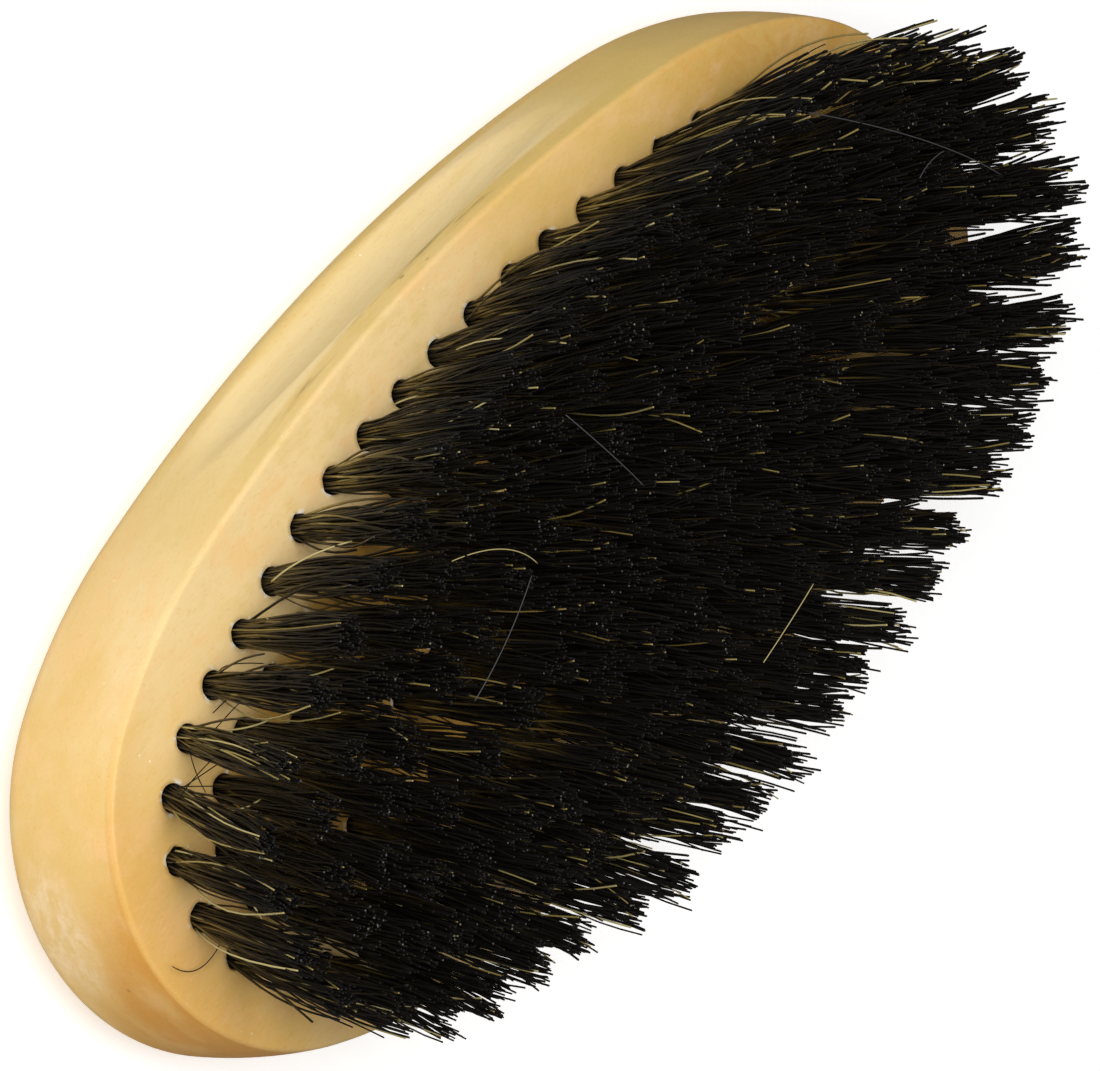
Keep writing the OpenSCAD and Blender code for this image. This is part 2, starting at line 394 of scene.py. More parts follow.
def tuft_groups():
    """Name of each tuft node, with the holes that its tufts stand in."""
    groups = {}
    for k, count in enumerate(RING_GROUPS):
        for g, holes in enumerate(split(ring_holes(k), count)):
            groups[f"ring_{k + 1}_tufts_{g + 1}"] = holes
    groups["inner_row_tufts_front"] = inner_holes(-1)
    groups["inner_row_tufts_back"] = inner_holes(1)
    for g, holes in enumerate(split(centre_holes(), CENTRE_GROUPS)):
        groups[f"centre_row_tufts_{g + 1}"] = holes
    return groups


def lean(hole):
    """Unit vector along a hole's axis, out of the face."""
    x, y = hole
    axis = np.array([LEAN_ALONG * x / HALF_LENGTH, LEAN_ACROSS * y / HALF_WIDTH, 1.0])
    return axis / np.linalg.norm(axis)


def cross_axes(axis):
    """Two unit vectors across an axis that points mostly up."""
    across = np.cross([0, 1, 0], axis)
    across /= np.linalg.norm(across)
    return across, np.cross(axis, across)


# ------------------------------------------------------------- mesh and nodes

def add_mesh(name, verts, faces, smooth=True, **attributes):
    """New mesh object, with a number for each vertex under each attribute's name."""
    mesh = bpy.data.meshes.new(name)
    mesh.from_pydata([tuple(v) for v in verts], [], [tuple(f) for f in faces])
    mesh.polygons.foreach_set("use_smooth", [smooth] * len(mesh.polygons))
    for key, values in attributes.items():
        layer = mesh.attributes.new(key, "FLOAT", "POINT")
        layer.data.foreach_set("value", np.asarray(values, dtype=np.float32))
    mesh.update()
    obj = bpy.data.objects.new(name, mesh)
    bpy.context.scene.collection.objects.link(obj)
    return obj


class Graph:
    """Short calls that add and join the nodes of one material."""

    def __init__(self, name):
        self.material = bpy.data.materials.new(name)
        self.material.use_nodes = True
        self.nodes = self.material.node_tree.nodes
        self.links = self.material.node_tree.links
        self.shader = self.nodes["Principled BSDF"]

    def put(self, socket, value):
        if isinstance(value, bpy.types.NodeSocket):
            self.links.new(value, socket)
        else:
            socket.default_value = value

    def set(self, **inputs):
        """Sets the shader's inputs, with _ for a space in each name."""
        for key, value in inputs.items():
            self.put(self.shader.inputs[key.replace("_", " ")], value)

    def attribute(self, name):
        node = self.nodes.new("ShaderNodeAttribute")
        node.attribute_name = name
        return node.outputs["Fac"]

    def place(self, scale=(1, 1, 1), shift=(0, 0, 0)):
        """Object coordinates in millimetres, scaled and shifted."""
        coords = self.nodes.new("ShaderNodeTexCoord")
        mapping = self.nodes.new("ShaderNodeMapping")
        self.put(mapping.inputs["Vector"], coords.outputs["Object"])
        mapping.inputs["Scale"].default_value = [s / MM for s in scale]
        mapping.inputs["Location"].default_value = shift
        return mapping.outputs["Vector"]

    def noise(self, vector, scale=1.0, detail=3.0, rough=0.5, distortion=0.0):
        node = self.nodes.new("ShaderNodeTexNoise")
        for key, value in (("Vector", vector), ("Scale", scale), ("Detail", detail),
                           ("Roughness", rough), ("Distortion", distortion)):
            self.put(node.inputs[key], value)
        return node.outputs["Fac"]

    def dots(self, vector, scale, size):
        """1 inside scattered round dots and 0 outside, with soft edges."""
        node = self.nodes.new("ShaderNodeTexVoronoi")
        self.put(node.inputs["Vector"], vector)
        self.put(node.inputs["Scale"], scale)
        return self.ramp(node.outputs["Distance"], size, size * 0.5)

    def ramp(self, value, low, high, to_low=0.0, to_high=1.0):
        """value taken from low..high to to_low..to_high, smoothly and clamped."""
        node = self.nodes.new("ShaderNodeMapRange")
        node.interpolation_type = "SMOOTHSTEP"
        for key, v in (("Value", value), ("From Min", low), ("From Max", high),
                       ("To Min", to_low), ("To Max", to_high)):
            self.put(node.inputs[key], v)
        return node.outputs["Result"]

    def math(self, operation, a, b=0.0):
        node = self.nodes.new("ShaderNodeMath")
        node.operation = operation
        self.put(node.inputs[0], a)
        self.put(node.inputs[1], b)
        return node.outputs[0]

    def times(self, *factors):
        """Product of several values."""
        product = factors[0]
        for factor in factors[1:]:
            product = self.math("MULTIPLY", product, factor)
        return product

    def apart(self, value, centre):
        """Distance of a value from a centre."""
        return self.math("ABSOLUTE", self.math("SUBTRACT", value, centre))

    def oval(self, a, a_centre, a_size, b, b_centre, b_size):
        """Squared distance from the centre of an oval, 1 on its edge."""
        across = self.math("DIVIDE", self.math("SUBTRACT", a, a_centre), a_size)
        along = self.math("DIVIDE", self.math("SUBTRACT", b, b_centre), b_size)
        return self.math("ADD", self.math("POWER", across, 2), self.math("POWER", along, 2))

    def mix(self, factor, a, b):
        node = self.nodes.new("ShaderNodeMix")
        node.data_type = "RGBA"
        self.put(node.inputs["Factor"], factor)
        self.put(node.inputs[6], a)
        self.put(node.inputs[7], b)
        return node.outputs[2]

    def axis(self, name):
        """One coordinate of the object position, in millimetres."""
        node = self.nodes.new("ShaderNodeSeparateXYZ")
        self.put(node.inputs[0], self.place())
        return node.outputs[name]

    def colours(self, value, stops):
        node = self.nodes.new("ShaderNodeValToRGB")
        self.put(node.inputs["Fac"], value)
        ends = node.color_ramp.elements
        ends[0].position, ends[0].color = stops[0]
        ends[1].position, ends[1].color = stops[-1]
        for position, colour in stops[1:-1]:
            ends.new(position).color = colour
        return node.outputs["Color"]

    def bump(self, height, strength, distance, normal=None):
        node = self.nodes.new("ShaderNodeBump")
        self.put(node.inputs["Height"], height)
        self.put(node.inputs["Strength"], strength)
        self.put(node.inputs["Distance"], distance)
        if normal is not None:
            self.put(node.inputs["Normal"], normal)
        return node.outputs["Normal"]


# --------------------------------------------------------------- the materials

def wood_colour(g):
    """Base colour of the wood: pale in the middle, orange at the ends, soft grain along X."""
    x = g.axis("X")
    clouds = g.noise(g.place((0.05, 0.14, 0.14)), detail=4, rough=0.6)
    grain = g.noise(g.place((0.05, 1.1, 1.1)), detail=5, rough=0.65, distortion=0.5)
    spread = g.math("ADD", g.apart(x, PALE_CENTRE), g.ramp(clouds, 0.25, 0.75, 14, -14))
    colour = g.mix(g.ramp(spread, 12, 42), WOOD_PALE, WOOD_TAN)
    colour = g.mix(g.ramp(spread, 38, 72), colour, WOOD_ORANGE)
    colour = g.mix(g.ramp(grain, 0.45, 0.75, 0, 0.16), colour, WOOD_ORANGE)
    blotches = g.noise(g.place((0.20, 0.34, 0.34), (5, 1, 8)), detail=5, rough=0.62)
    colour = g.mix(g.ramp(blotches, 0.48, 0.66, 0, 0.75), colour, WOOD_BLUSH)
    tinge = g.times(g.ramp(blotches, 0.50, 0.32, 0, 0.45), g.ramp(x, 42, 30))
    colour = g.mix(tinge, colour, WOOD_GREENISH)

    across_rings = g.place((0.42, -0.34, 0.10), (3, 0, 0))
    rings = g.noise(across_rings, detail=3, rough=0.55, distortion=1.2)
    ring_mask = g.times(g.ramp(x, -28, -52), g.ramp(rings, 0.44, 0.66, 0, 0.3))
    return g.mix(ring_mask, colour, WOOD_BROWN)


def on_wall(g):
    """1 on the side walls and 0 on the face."""
    return g.ramp(g.axis("Z"), FACE_Z / MM - 0.15, FACE_Z / MM - 0.6)


def below_face(g):
    """Depth below the face, in millimetres."""
    return g.math("SUBTRACT", FACE_Z / MM, g.axis("Z"))


def long_clouds(g):
    return g.noise(g.place((0.035, 0.12, 0.30), (7, 0, 0)), detail=4, rough=0.55)


def side_tints_and_groove_shade(g, colour):
    """The long side walls: a greenish tinge, a creamy groove and dark streaks of painted shade
    above it, along its border.
    """
    x, wall, depth = g.axis("X"), on_wall(g), below_face(g)
    fine = g.noise(g.place((0.12, 0.35, 1.5), (2, 5, 0)), detail=5, rough=0.7)

    patchy = g.ramp(long_clouds(g), 0.30, 0.58, 0.35, 1.0)
    towards_minus_x = g.times(g.ramp(x, 42, -28), g.ramp(x, -62, -36, 0.35, 1))
    middle = g.times(wall, g.ramp(g.math("ABSOLUTE", x), 44, 24, 0, 0.6))
    green = g.math("MAXIMUM", g.times(wall, patchy, towards_minus_x), middle)
    colour = g.mix(green, colour, WOOD_GREENISH)

    groove = g.ramp(g.apart(depth, GROOVE_DROP / MM), 4.3, 3.6)
    groove_length = g.ramp(g.math("ABSOLUTE", x), 34, 16)
    cream = g.times(groove, groove_length, g.ramp(fine, 0.25, 0.6, 0.6, 1.0))
    colour = g.mix(cream, colour, WOOD_CREAM)

    # Painted shade: streaks along the groove's face-side border, where its edge falls in shade
    border = g.ramp(g.apart(depth, GROOVE_BORDER / MM), 1.0, 0.1)
    dark = g.times(border, g.ramp(fine, 0.46, 0.72, 0, 0.8), g.ramp(g.apart(x, 2), 24, 12))
    return g.mix(dark, colour, WOOD_MINERAL_AND_SHADE)


def tip_stains_and_highlight(g, colour):
    """The wall round the tips: warm brown, and a whitish painted highlight of the satin varnish at
    the +X tip.
    """
    x, y, depth = g.axis("X"), g.axis("Y"), below_face(g)
    colour = g.mix(g.times(on_wall(g), g.ramp(x, -46, -60, 0, 0.45)), colour, WOOD_BROWN)

    tip_wall = g.times(on_wall(g), g.ramp(x, 38, 50))
    round_tip = g.math("SUBTRACT", y, g.times(g.math("SUBTRACT", depth, 6), 1.5))
    patchy = g.ramp(long_clouds(g), 0.30, 0.60, 0.45, 0.9)
    warm = g.times(tip_wall, g.ramp(round_tip, -6, 7), patchy)
    colour = g.mix(warm, colour, WOOD_BROWN)

    cloudy = g.noise(g.place((0.5, 0.5, 0.9), (6, 2, 4)), detail=5, rough=0.7)
    # Painted highlight: a whitish cloudy patch stands in for the varnish's reflection on the +X tip
    # wall
    highlight_patch = g.ramp(g.oval(y, -4, 8, depth, 9, 4.5), 1.0, 0.1)
    haze_and_highlight = g.times(tip_wall, highlight_patch, g.ramp(cloudy, 0.38, 0.66, 0.1, 0.6))
    return g.mix(haze_and_highlight, colour, WOOD_PAINTED_HIGHLIGHT)


def face_tones_and_tuft_shade(g, colour):
    """The face: more orange at its +X tip, and painted shade inside the outer ring, a warm brown
    among the tufts.
    """
    x, y = g.axis("X"), g.axis("Y")
    face = g.ramp(g.axis("Z"), FACE_Z / MM - 1, FACE_Z / MM - 0.5)
    colour = g.mix(g.times(face, g.ramp(x, 48, 60, 0, 0.4)), colour, WOOD_BROWN)
    ring = EDGE_MARGIN + RING_SPACING
    tuft_shade_reach = g.oval(x, 0, (HALF_LENGTH - ring) / MM, y, 0, (HALF_WIDTH - ring) / MM)
    # Painted shade: the face inside the outer ring is darkened where the tufts shade it
    return g.mix(g.times(face, g.ramp(tuft_shade_reach, 1.30, 0.92, 0, 0.92)), colour, WOOD_SHADE_AMONG_TUFTS)


def small_marks_and_bore_shade(g, colour):
    """Pores, specks, lint in the varnish, the pale torn rims of the holes and painted shade down
    their bores.
    """
    pores = g.noise(g.place((1.6, 4.5, 4.5)), detail=3, rough=0.75)
    colour = g.mix(g.ramp(pores, 0.54, 0.76, 0, 0.38), colour, WOOD_BROWN)
    colour = g.mix(g.ramp(pores, 0.46, 0.26, 0, 0.28), colour, WOOD_CREAM)
    specks = g.dots(g.place((0.11, 0.21, 0.21), (1, 2, 0)), 1.0, 0.05)
    colour = g.mix(g.times(specks, 0.55), colour, WOOD_MINERAL_AND_SHADE)
    lint = g.dots(g.place((0.5, 0.38, 0.45), (4, 3, 1)), 1.0, 0.06)
    dusty = g.ramp(g.noise(g.place((0.13, 0.13, 0.13), (2, 2, 9))), 0.50, 0.62)
    colour = g.mix(g.times(lint, dusty, 0.6), colour, WOOD_CHIP)
    torn = g.ramp(g.noise(g.place((1.0, 1.0, 1.0)), detail=2), 0.54, 0.64)
    colour = g.mix(g.times(g.attribute("rim"), torn), colour, WOOD_CHIP)
    # Painted shade: the bores of the holes are darkened down their depth
    return g.mix(g.attribute("bore"), colour, WOOD_BORE_SHADE)


def wood_material():
    """Pale wood under a satin varnish that is hazy in patches."""
    g = Graph("varnished_wood")
    colour = tip_stains_and_highlight(g, side_tints_and_groove_shade(g, wood_colour(g)))
    colour = small_marks_and_bore_shade(g, face_tones_and_tuft_shade(g, colour))
    haze_and_highlight = g.noise(g.place((0.12, 0.12, 0.12), (9, 0, 0)), detail=4, rough=0.6)
    fibre = g.noise(g.place((0.35, 5, 5)), detail=3, rough=0.7)
    grit = g.noise(g.place((2.2, 2.2, 2.2)), detail=3, rough=0.6)
    ripple = g.bump(haze_and_highlight, 0.25, 0.5 * MM)
    height = g.math("ADD", g.times(fibre, 0.5), g.times(grit, 0.5))
    g.set(
        Base_Color=colour,
        Roughness=g.ramp(haze_and_highlight, 0.35, 0.7, 0.36, 0.52),
        Normal=g.bump(height, 0.18, 0.2 * MM, ripple),
        Specular_IOR_Level=0.14,
        Coat_Weight=0.04,
        Coat_Roughness=0.25,
    )
    return g.material


def bristle_material():
    """Near-black boar hair, brown at the roots, with some blond hairs and pale cut ends, partly
    painted glints.
    """
    g = Graph("boar_bristle")
    tone = g.attribute("tone")
    along = g.attribute("along")
    mottle = g.noise(g.place((2.0, 2.0, 0.5)), detail=2)
    dark = g.ramp(tone, 0.6, 0.45)
    height = g.times(g.ramp(along, 0.62, 0.12, 0.0, 0.48), g.ramp(along, -0.02, 0.14, 0.15, 1.0))
    some = g.times(g.ramp(tone, 0.0, 0.07, 0.1, 1.0), g.ramp(mottle, 0.3, 0.7, 0.5, 1.1))
    root = g.times(dark, height, some, g.ramp(g.axis("X"), 52, 34, 0.5, 1.0))
    blond = g.ramp(tone, 0.45, 0.6)
    fading = g.times(tone, g.math("MAXIMUM", g.ramp(along, 0.9, 0.45, 0.3, 1.0), blond))
    g.set(
        Base_Color=g.colours(g.math("ADD", fading, root), HAIR_COLOURS),
        Roughness=g.ramp(mottle, 0.3, 0.7, 0.32, 0.50),
        Specular_IOR_Level=0.22,
        Specular_Tint=HAIR_SHEEN,
    )
    return g.material


def wire_material():
    """Drawn steel wire with fine lengthwise scratches and dull patches."""
    g = Graph("anchor_wire")
    scratches = g.noise(g.place((1.5, 14, 14)), detail=4, rough=0.7)
    patches = g.noise(g.place((1.2, 1.2, 1.2)), detail=2)
    g.set(
        Base_Color=g.mix(g.ramp(patches, 0.4, 0.7), WIRE_BRIGHT, WIRE_DULL),
        Metallic=1.0,
        Roughness=g.ramp(scratches, 0.3, 0.7, 0.28, 0.5),
        Normal=g.bump(scratches, 0.2, 0.02 * MM),
    )
    return g.material


def floor_material():
    g = Graph("studio_floor")
    g.set(
        Base_Color=FLOOR_GREY,
        Roughness=0.9,
        Specular_IOR_Level=0.1,
        Emission_Color=WHITE,
        Emission_Strength=0.40,
    )
    return g.material


# ------------------------------------------------------------- the wooden block

def crease_levels():
    """Levels of the small rounded edge between the face and the wall."""
    levels = [(-3 * CREASE_RADIUS, BLOCK_Z), (-1.3 * CREASE_RADIUS, BLOCK_Z)]
    for i in range(1, CREASE_STEPS):
        a = QUARTER * i / CREASE_STEPS
        offset = -CREASE_RADIUS * (1 - math.sin(a))
        levels.append((offset, BLOCK_Z - CREASE_RADIUS * (1 - math.cos(a))))
    return levels


def wall_levels():
    """Offset from the edge of the face and height of each loop, from face to land."""
    levels = crease_levels()
    top_turn = math.asin((SWELL_DEPTH - CREASE_RADIUS) / SWELL_RADIUS)
    for i in range(SWELL_STEPS):
        a = top_turn * (1 - i / SWELL_STEPS)
        offset = SIDE_SWELL - SWELL_RADIUS * (1 - math.cos(a))
        levels.append((offset, WIDEST_Z + SWELL_RADIUS * math.sin(a)))
    edge_u, land_u = SIDE_SWELL - BACK_EDGE_RADIUS, SIDE_SWELL - DOME_BORDER
    dome_turn = 2 * math.atan((WIDEST_Z - BACK_EDGE_RADIUS) / (DOME_BORDER - BACK_EDGE_RADIUS))
    dome_radius = (DOME_BORDER - BACK_EDGE_RADIUS * (1 - math.sin(dome_turn))) / math.sin(dome_turn)
    for i in range(EDGE_STEPS):
        a = (QUARTER - dome_turn) * i / EDGE_STEPS
        offset = edge_u + BACK_EDGE_RADIUS * math.cos(a)
        levels.append((offset, WIDEST_Z - BACK_EDGE_RADIUS * math.sin(a)))
    for i in range(DOME_STEPS + 1):
        a = dome_turn * (1 - i / DOME_STEPS)
        levels.append((land_u + dome_radius * math.sin(a), dome_radius * (1 - math.cos(a))))
    return levels


def press_groove(points):
    """Pushes the wall in to the round cutter that makes the finger groove in each side."""
    wall = SIDE_SWELL - (SWELL_DEPTH - GROOVE_DROP) ** 2 / (2 * SWELL_RADIUS)
    axis_y = HALF_WIDTH + wall + GROOVE_RADIUS - GROOVE_DEPTH
    axis_z = BLOCK_Z - GROOVE_DROP - (points[:, 0] - GROOVE_SHIFT) * math.tan(GROOVE_SLOPE)
    up = (points[:, 2] - axis_z) / GROOVE_RADIUS
    cutter = axis_y - GROOVE_RADIUS * np.sqrt(np.clip(1 - up**2, 0, 1))
    y = np.abs(points[:, 1])
    k = GROOVE_SOFTNESS
    blend = np.clip(0.5 + 0.5 * (y - cutter) / k, 0, 1)
    pressed = y * (1 - blend) + cutter * blend - k * blend * (1 - blend)
    inside = (np.abs(up) < 1) & (points[:, 2] < BLOCK_Z - 2 * CREASE_RADIUS)
    points[:, 1] = np.sign(points[:, 1]) * np.where(inside, np.minimum(y, pressed), y)
    return points


def hole_loops(hole, rng):
    """Loops of points from the face round a hole down to its bottom."""
    axis = lean(hole)
    across, along = cross_axes(axis)
    centre = np.array([hole[0], hole[1], BLOCK_Z])
    angles = 2 * math.pi * np.arange(HOLE_SIDES) / HOLE_SIDES
    flat = np.stack([np.cos(angles), np.sin(angles), 0 * angles], 1)
    round_axis = np.outer(np.cos(angles), across) + np.outer(np.sin(angles), along)
    ragged = rng.uniform(*WEAR, HOLE_SIDES) * MM
    for _ in range(rng.integers(0, MOST_CHIPS + 1)):
        at = rng.integers(0, HOLE_SIDES)
        ragged[at] += rng.uniform(*CHIP) * MM
        ragged[(at + 1) % HOLE_SIDES] += rng.uniform(*CHIP_TAIL) * MM
    border = centre + flat * (HOLE_RADIUS + RIM_BORDER)
    rim = centre + flat * (HOLE_RADIUS + ragged)[:, None]
    lip = centre + flat * HOLE_RADIUS - np.outer(LIP_DROP + ragged, [0, 0, 1])
    bore = [centre - axis * depth + round_axis * HOLE_RADIUS for depth in BORE_DEPTHS]
    return [border, rim, lip, *bore]


def swept_wall():
    """Points and faces of the wall and the back, loop after loop, and the count in a loop."""
    turns = quarter_turns(LOOP_SPACING)
    levels = wall_levels()
    loops = []
    for offset, z in levels:
        loop = outline(offset, turns)
        loops.append(np.column_stack([loop, np.full(len(loop), z)]))
    count = len(loops[0])
    faces = []
    for j in range(len(levels) - 1):
        a, b = j * count, (j + 1) * count
        for i in range(count):
            n = (i + 1) % count
            faces.append((a + n, b + n, b + i, a + i))
    last = (len(levels) - 1) * count
    faces.append(tuple(last + i for i in range(count)))
    return press_groove(np.concatenate(loops)), faces, count


def hole_faces(base, loops):
    """Faces that join the loops of one hole, and its bottom."""
    faces = []
    for j in range(loops - 1):
        a, b = base + j * HOLE_SIDES, base + (j + 1) * HOLE_SIDES
        for i in range(HOLE_SIDES):
            n = (i + 1) % HOLE_SIDES
            faces.append((a + i, a + n, b + n, b + i))
    bottom = base + (loops - 1) * HOLE_SIDES
    faces.append(tuple(bottom + i for i in range(HOLE_SIDES)))
    return faces


def face_triangles(points, edges, owner):
    """Triangles of the flat face inside its edge and outside the holes, by point number."""
    flat = [Vector(p[:2] / MM) for p in points]
    _, _, triangles, sources, _, _ = delaunay_2d_cdt(flat, edges, [], 0, 1e-6)
    for triangle in triangles:
        corners = [sources[i][0] for i in triangle]
        owners = {owner[c] for c in corners}
        if len(owners) > 1 or owners == {EDGE}:
            yield corners


def ring_edges(start, count):
    return [(start + i, start + (i + 1) % count) for i in range(count)]


def build_block(holes):
    """The block as one closed mesh: swept walls, drilled face and finger grooves."""
    wall, faces, count = swept_wall()
    verts, rim, bore = [wall], [np.zeros(len(wall))], [np.zeros(len(wall))]
    flat_points = list(wall[:count])
    flat_index = list(range(count))
    owner = [EDGE] * count
    edges = ring_edges(0, count)
    rng = np.random.default_rng(5)
    base = len(wall)
    for number, hole in enumerate(holes):
        loops = hole_loops(hole, rng)
        edges += ring_edges(len(flat_points), HOLE_SIDES)
        flat_points += list(loops[0])
        flat_index += [base + i for i in range(HOLE_SIDES)]
        owner += [number] * HOLE_SIDES
        faces += hole_faces(base, len(loops))
        verts.append(np.concatenate(loops))
        rim.append(np.repeat(RIM_MARKS, HOLE_SIDES))
        bore.append(np.repeat(BORE_SHADE_MARKS, HOLE_SIDES))
        base += len(verts[-1])
    for corners in face_triangles(flat_points, edges, owner):
        faces.append(tuple(flat_index[c] for c in corners))
    marks = {"rim": np.concatenate(rim), "bore": np.concatenate(bore)}
    return add_mesh("block", np.concatenate(verts), faces, **marks)


# ------------------------------------------------------------------ the bristles

def tube(path, radii, sides=BRISTLE_SIDES, flat_end=False):
    """Vertices and faces of a closed round tube along a path, ending in a crisp or a soft edge."""
    tangents = np.gradient(path, axis=0)
    tangents /= np.linalg.norm(tangents, axis=1)[:, None]
    helper = np.array([0.3, 1.0, 0.1])
    across = np.cross(tangents, helper)
    across /= np.linalg.norm(across, axis=1)[:, None]
    other = np.cross(tangents, across)
    angles = 2 * math.pi * np.arange(sides) / sides
    rings = (path[:, None, :] + radii[:, None, None]
             * (np.cos(angles)[None, :, None] * across[:, None, :]
                + np.sin(angles)[None, :, None] * other[:, None, :]))
    verts = rings.reshape(-1, 3)
    i = np.arange(sides)
    n = (i + 1) % sides
    faces = []
    for j in range(len(path) - 1):
        a, b = j * sides, (j + 1) * sides
        faces += [(a + p, a + q, b + q, b + p) for p, q in zip(i, n)]
    top = (len(path) - 1) * sides
    if flat_end:
        verts = np.concatenate([verts, verts[top:]])
        top += sides
    faces.append(tuple(i[::-1]))
    faces.append(tuple(top + i))
    return verts, faces


def spiral_points(count, radius):
    """Points spread evenly over a disc along a sunflower spiral."""
    i = np.arange(count) + 0.5
    turn = i * math.pi * (3 - math.sqrt(5))
    return radius * np.sqrt(i / count)[:, None] * np.stack([np.cos(turn), np.sin(turn)], 1)


def blond_share(hole, outer):
    """Share of blond bristles in a tuft: most in the outer ring's -X, -Y part."""
    if not outer:
        return INNER_BLOND_SHARE
    x, y = hole
    towards_minus_x = min(1, max(0, -2 * x / HALF_LENGTH - 0.6))
    return OUTER_BLOND_SHARE * (1 + 2 * towards_minus_x * (y < 0))


def bristle_tones(hole, outer, rng):
    """Tone of each bristle of a tuft."""
    count = BRISTLES_PER_TUFT
    tones = rng.uniform(*BLACK_TONES, count)
    pick = rng.random(count)
    tones = np.where(pick < BROWN_SHARE, rng.uniform(*BROWN_TONES, count), tones)
    blonds = rng.uniform(*(OUTER_BLOND_TONES if outer else SHADED_INNER_BLOND_TONES), count)
    return np.where(pick < blond_share(hole, outer), blonds, tones)


def nearness(hole, centre, spread):
    """1 at a centre, falling to 0 over a few spreads."""
    return math.exp(-math.dist(hole, [c * MM for c in centre])**2 / (2 * (spread * MM)**2))


def tuft_axis(hole, rng):
    """Axis of a tuft: its hole's axis, a little off."""
    slope = rng.normal(0, SLANT, 2)
    for centre, spread, extra in STRAYS:
        slope += np.array(extra) * nearness(hole, centre, spread)
    return lean(hole) + np.append(slope, 0)


def tuft_flare(hole, outer, rng):
    """How many times wider a tuft is at its tips than at its root."""
    flare = (OUTER_FLARE if outer else INNER_FLARE) * rng.uniform(*FLARE_RANGE)
    for centre, spread, factor in FLARES:
        flare *= 1 + (factor - 1) * nearness(hole, centre, spread)
    return flare


def turned(points, turn):
    c, s = math.cos(turn), math.sin(turn)
    return points @ np.array([[c, s], [-s, c]])


def tuft_bristles(hole, outer, rng):
    """Root and tip offsets, heights, bows, waves and tones of all the bristles of one tuft."""
    count = BRISTLES_PER_TUFT
    roots = spiral_points(count, TUFT_RADIUS) + rng.normal(0, 1, (count, 2)) * ROOT_JITTER
    clumps = spiral_points(CLUMPS_PER_TUFT, TUFT_RADIUS)
    clumps = clumps + rng.normal(0, 1, (CLUMPS_PER_TUFT, 2)) * CLUMP_JITTER
    member = np.argmin(np.linalg.norm(roots[:, None] - clumps[None], axis=2), axis=1)
    flare = tuft_flare(hole, outer, rng)
    clump_tips = turned(clumps, rng.normal(0, TWIST)) * flare
    clump_tips = clump_tips + rng.normal(0, CLUMP_SCATTER, clumps.shape)
    tips = clump_tips[member] + (roots - clumps[member]) * CLUMP_SPREAD
    tips = tips + rng.normal(0, 1, (count, 2)) * TIP_JITTER
    clump_cut = rng.normal(0, 1, CLUMPS_PER_TUFT) * CLUMP_CUT
    cut = clump_cut[member] + rng.normal(0, 1, count) * BRISTLE_CUT - rng.uniform(*TUFT_CUT)
    bows = rng.normal(0, 1, (count, 2)) * BOW
    waves = rng.normal(0, 1, (count, 2)) * WAVE
    tones = bristle_tones(hole, outer, rng)

    wild = rng.random(count) < WILD_SHARE
    tips[wild] += np.clip(rng.normal(0, WILD_SCATTER, (wild.sum(), 2)), -WILD_REACH, WILD_REACH)
    bows[wild | (tones > BLOND_FROM)] *= 2
    cut[wild] -= rng.uniform(0, WILD_CUT, wild.sum())
    return roots, tips, np.minimum(cut, 0), bows, waves, tones


def bristle_path(hole, axis, root, tip, cut, bow, wave):
    """One bristle from inside its hole to its trimmed tip."""
    top = 1 + cut / BRISTLE_HEIGHT
    low, high = -SUNK / BRISTLE_HEIGHT, top - TIP_BAND / BRISTLE_HEIGHT
    rise = np.append(np.linspace(low, high, BRISTLE_STEPS - 1), top)
    above = np.clip(rise, 0, 1)
    offset = root + np.outer(above, tip - root)
    offset += np.outer(np.sin(above * math.pi), bow) + np.outer(np.sin(above * 2 * math.pi), wave)
    stem = np.array([hole[0], hole[1], FACE_Z]) + np.outer(rise * BRISTLE_HEIGHT, axis / axis[2])
    path = stem + offset @ np.stack(cross_axes(axis))
    path[:, 2] += (FACE_Z + BRISTLE_HEIGHT + cut - path[-1, 2]) * above
    return path


def add_strands(name, strands):
    """One mesh of many tubes, from the vertices, faces, tones and heights of each."""
    faces = []
    base = 0
    for verts, tube_faces, _, _ in strands:
        faces += [tuple(base + i for i in face) for face in tube_faces]
        base += len(verts)
    verts, _, tones, alongs = zip(*strands)
    return add_mesh(name, np.concatenate(verts), faces,
                    tone=np.concatenate(tones), along=np.concatenate(alongs))


def build_tufts(name, holes, seed):
    """One mesh with every bristle of a group of tufts."""
    rng = np.random.default_rng(seed)
    outer = name.startswith("ring_1")
    strands = []
    for hole in holes:
        axis = tuft_axis(hole, rng)
        pale_glint_share = rng.choice(PALE_GLINT_TUFTS) * PALE_GLINT_SHARE
        shiny_share = rng.choice(SHINY_TUFTS)
        for root, tip, cut, bow, wave, tone in zip(*tuft_bristles(hole, outer, rng)):
            path = bristle_path(hole, axis, root, tip, cut, bow, wave)
            thinning = BLOND_THINNING if tone > BLOND_FROM else 1
            thickness = BRISTLE_RADIUS * rng.uniform(*THICKNESS_RANGE) * thinning
            pale = rng.random() < pale_glint_share
            middle = math.exp(-np.linalg.norm(root)**2 / (2 * SHINY_SPREAD**2))
            flat = rng.random() > shiny_share * middle
            radii = thickness * np.linspace(1, TIP_TAPER, BRISTLE_STEPS)
            verts, faces = tube(path, radii, flat_end=flat)
            tones = np.full(len(verts), tone)
            # Painted glint: some bristles get a pale grey cap on their cut end
            if pale:
                tones[-BRISTLE_SIDES:] = PALE_TIP_GLINT
            strands.append((verts, faces, tones, (verts[:, 2] - FACE_Z) / BRISTLE_HEIGHT))
    return add_strands(name, strands)


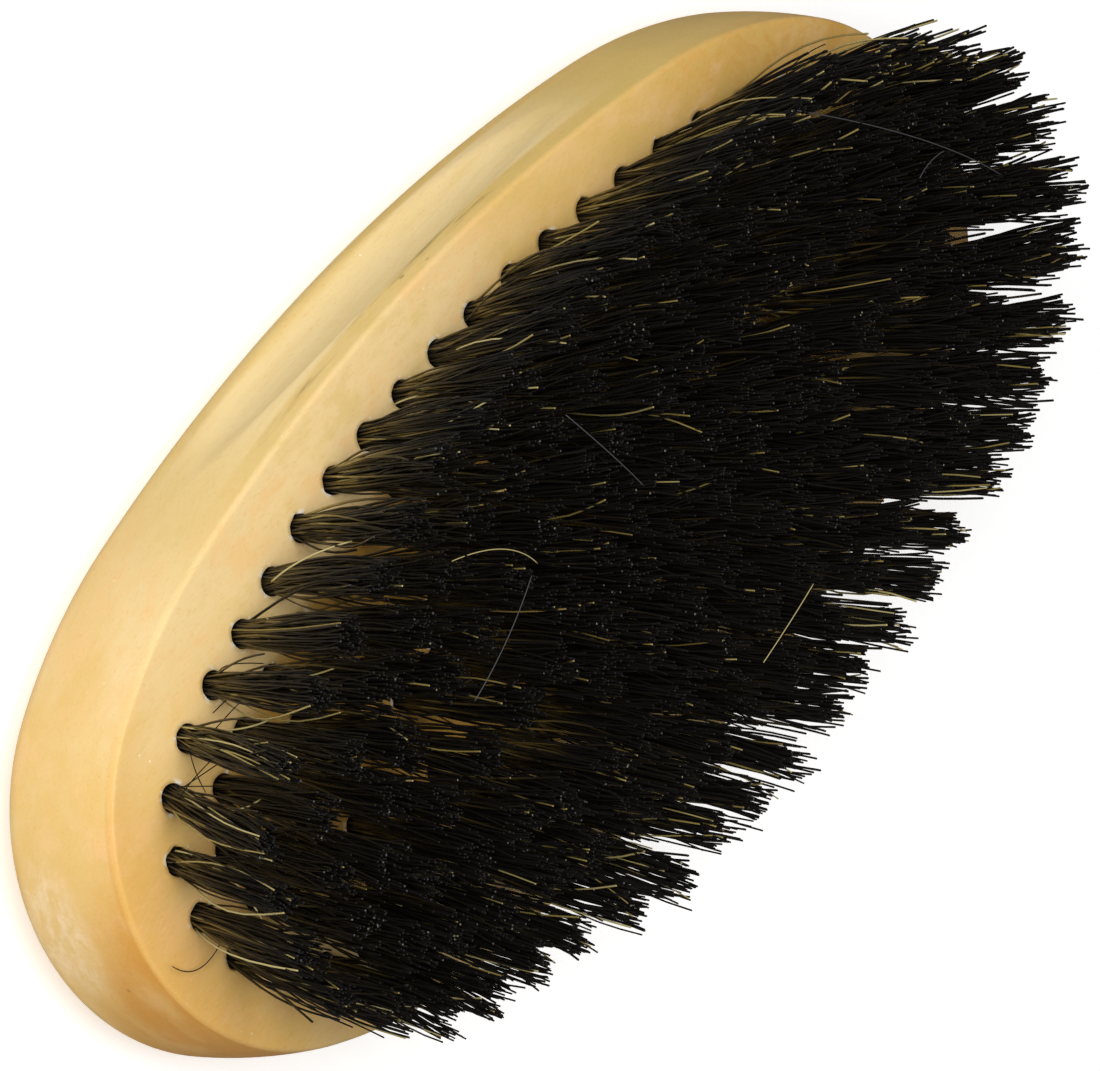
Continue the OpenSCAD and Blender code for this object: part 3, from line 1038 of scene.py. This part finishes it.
def build_loose_hairs():
    """Long stray hairs that lie across the tufts."""
    strands = []
    for radius, strays in ((HAIR_RADIUS, LOOSE_HAIRS), (STRAND_RADIUS, LOOSE_STRANDS)):
        for start, end, bow, tone in strays:
            start, end, bow = (np.array(p) * MM for p in (start, end, bow))
            t = np.linspace(0, 1, HAIR_STEPS)[:, None]
            path = start * (1 - t) + end * t + bow * 4 * t * (1 - t) + [0, 0, FACE_Z]
            verts, faces = tube(path, np.full(HAIR_STEPS, radius))
            strands.append((verts, faces, np.full(len(verts), tone), np.ones(len(verts))))
    return add_strands("loose_hairs", strands)


# --------------------------------------------------------- camera, light, floor

def aim(obj, place, target, roll=0.0):
    """Puts obj at a place with its -Z axis towards the target, rolled about that axis."""
    back = (Vector(place) - Vector(target)).normalized()
    right = Vector((0, 0, 1)).cross(back).normalized()
    up = back.cross(right)
    turned = right * math.cos(roll) + up * math.sin(roll)
    axes = Matrix((turned, back.cross(turned), back)).transposed()
    obj.matrix_world = Matrix.Translation(place) @ axes.to_4x4()


def around(azimuth, elevation, distance, target):
    """Place at a distance from the target; azimuth 0 is on the -Y side, 90 on +X."""
    a, e = math.radians(azimuth), math.radians(elevation)
    offset = Vector((math.cos(e) * math.sin(a), -math.cos(e) * math.cos(a), math.sin(e)))
    return Vector(target) + offset * distance


def add_camera():
    data = bpy.data.cameras.new("camera")
    data.sensor_width = CAMERA_SENSOR
    data.lens = CAMERA_LENS
    data.clip_end = 10
    camera = bpy.data.objects.new("camera", data)
    bpy.context.scene.collection.objects.link(camera)
    place = around(CAMERA_AZIMUTH, CAMERA_ELEVATION, CAMERA_DISTANCE, CAMERA_TARGET)
    aim(camera, place, CAMERA_TARGET, CAMERA_ROLL)
    bpy.context.scene.camera = camera


def add_softbox(name, azimuth, elevation, distance, size, power):
    data = bpy.data.lights.new(name, "AREA")
    data.shape = "DISK"
    data.size = size
    data.energy = power
    light = bpy.data.objects.new(name, data)
    bpy.context.scene.collection.objects.link(light)
    target = (0, 0, FACE_Z)
    aim(light, around(azimuth, elevation, distance, target), target)


def add_studio():
    """Pale floor, a soft key from the near side and an even white surround."""
    signs = [(-1, -1), (1, -1), (1, 1), (-1, 1)]
    corners = [(x * FLOOR_SIZE, y * FLOOR_SIZE, FLOOR_Z) for x, y in signs]
    floor = add_mesh("floor", corners, [(0, 1, 2, 3)], smooth=False)
    floor.data.materials.append(floor_material())
    floor.visible_glossy = False
    world = bpy.data.worlds.new("surround")
    world.use_nodes = True
    background = world.node_tree.nodes["Background"]
    background.inputs["Color"].default_value = WHITE
    background.inputs["Strength"].default_value = SURROUND_STRENGTH
    bpy.context.scene.world = world
    add_softbox("key", azimuth=44, elevation=57, distance=0.335, size=0.30, power=1.72)
    bpy.context.scene.view_settings.view_transform = "Standard"


# ------------------------------------------------------------------- assembly

def finish_piece(piece, material, node):
    piece.data.materials.append(material)
    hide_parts(node)
    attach(piece, "root")


add_camera()
add_studio()
groups = tuft_groups()
block = build_block([hole for holes in groups.values() for hole in holes])
finish_piece(block, wood_material(), "wood_block")
hair = bristle_material()
for seed, (node, holes) in enumerate(groups.items()):
    finish_piece(build_tufts(f"{node}_bristles", holes, seed), hair, node)
hairs = build_loose_hairs()
hairs.data.materials.append(hair)
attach(hairs, "root")
wire = wire_material()
for name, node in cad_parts.items():
    if name.endswith("_anchors"):
        for material_slot in node.material_slots:
            material_slot.material = wire
